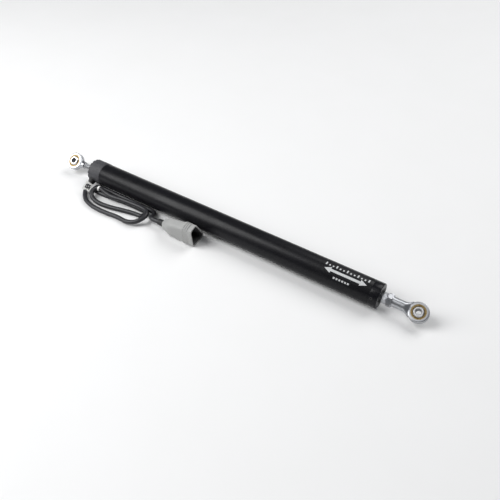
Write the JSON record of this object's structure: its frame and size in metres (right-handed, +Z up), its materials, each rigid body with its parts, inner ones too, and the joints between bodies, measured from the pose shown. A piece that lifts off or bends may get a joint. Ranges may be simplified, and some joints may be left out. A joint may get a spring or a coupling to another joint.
{
  "type": "linear position sensor",
  "caption": "Tubular linear position sensor with a sliding rod, swivelling rod ends and a short sheathed cable with a sealed connector.",
  "frame": {"origin": "on the resting surface, below the tube axis, halfway between the two rod-end eyes with the rod pushed in", "axes": "+X along the tube towards the rod, +Z up from the surface that the tube lies on"},
  "size_m": [0.455, 0.0589, 0.0265],
  "materials": {
    "black_anodised": "satin anodised",
    "textured_black": "fine spark texture",
    "black_rubber": "matte",
    "dark_steel": "black oxide",
    "bright_steel": "zinc plated",
    "polished_steel": "ground and polished",
    "race_brass": "turned",
    "bush_bronze": "plain",
    "natural_plastic": "moulded",
    "board_laminate": "plain",
    "track_ink": "printed carbon",
    "contact_brass": "plated",
    "wire_insulation": "extruded",
    "cable_sheath": "extruded sheath",
    "label_white": "plain",
    "connector_grey": "moulded",
    "connector_black": "moulded"
  },
  "bodies": {
    "housing": {"housing_tube": "black_anodised", "front_cap": "black_anodised", "rear_cap": "textured_black", "rear_o_ring": "black_rubber", "front_o_ring": "black_rubber", "bush_set_screws": "dark_steel", "rod_bush": "bush_bronze", "rod_wiper_seal": "black_rubber", "seal_retaining_ring": "bright_steel", "board_carrier": "natural_plastic", "track_board": "board_laminate", "resistive_track": "track_ink", "collector_track": "contact_brass", "terminal_pins": "contact_brass", "lead_wires": "wire_insulation", "rear_bumper": "black_rubber", "front_bumper": "black_rubber", "rear_rod_end_housing": "bright_steel", "rear_rod_end_race": "race_brass", "cable_gland": "black_rubber", "cable_entry": "cable_sheath", "cable": "cable_sheath", "cable_label": "label_white", "cable_marker_band": "label_white", "connector_shell": "connector_grey", "connector_insert": "connector_black", "connector_pins": "contact_brass", "connector_boot": "black_rubber"},
    "carriage": {"wiper_carriage": "natural_plastic", "wiper_fingers": "contact_brass"},
    "rod": {"sensor_shaft": "polished_steel", "shaft_clips": "dark_steel", "jam_nut": "bright_steel", "front_rod_end_housing": "bright_steel", "front_rod_end_race": "race_brass"},
    "front_ball": {"front_rod_end_ball": "polished_steel"},
    "rear_ball": {"rear_rod_end_ball": "polished_steel"}
  },
  "joints": [
    {"name": "stroke", "type": "slide", "parent": "housing", "child": "carriage", "axis": [1, 0, 0], "range_m": [0, 0.25]},
    {"name": "shaft_swivel", "type": "hinge", "parent": "carriage", "child": "rod", "pos_m": [-0.117, 0, 0.01325], "axis": [1, 0, 0], "continuous": true},
    {"name": "front_ball_turn", "type": "hinge", "parent": "rod", "child": "front_ball", "pos_m": [0.2175, 0, 0.01325], "axis": [0, -0.4695, 0.8829], "continuous": true},
    {"name": "rear_ball_turn", "type": "hinge", "parent": "housing", "child": "rear_ball", "pos_m": [-0.2175, 0, 0.01325], "axis": [0, -0.6428, 0.766], "continuous": true}
  ]
}
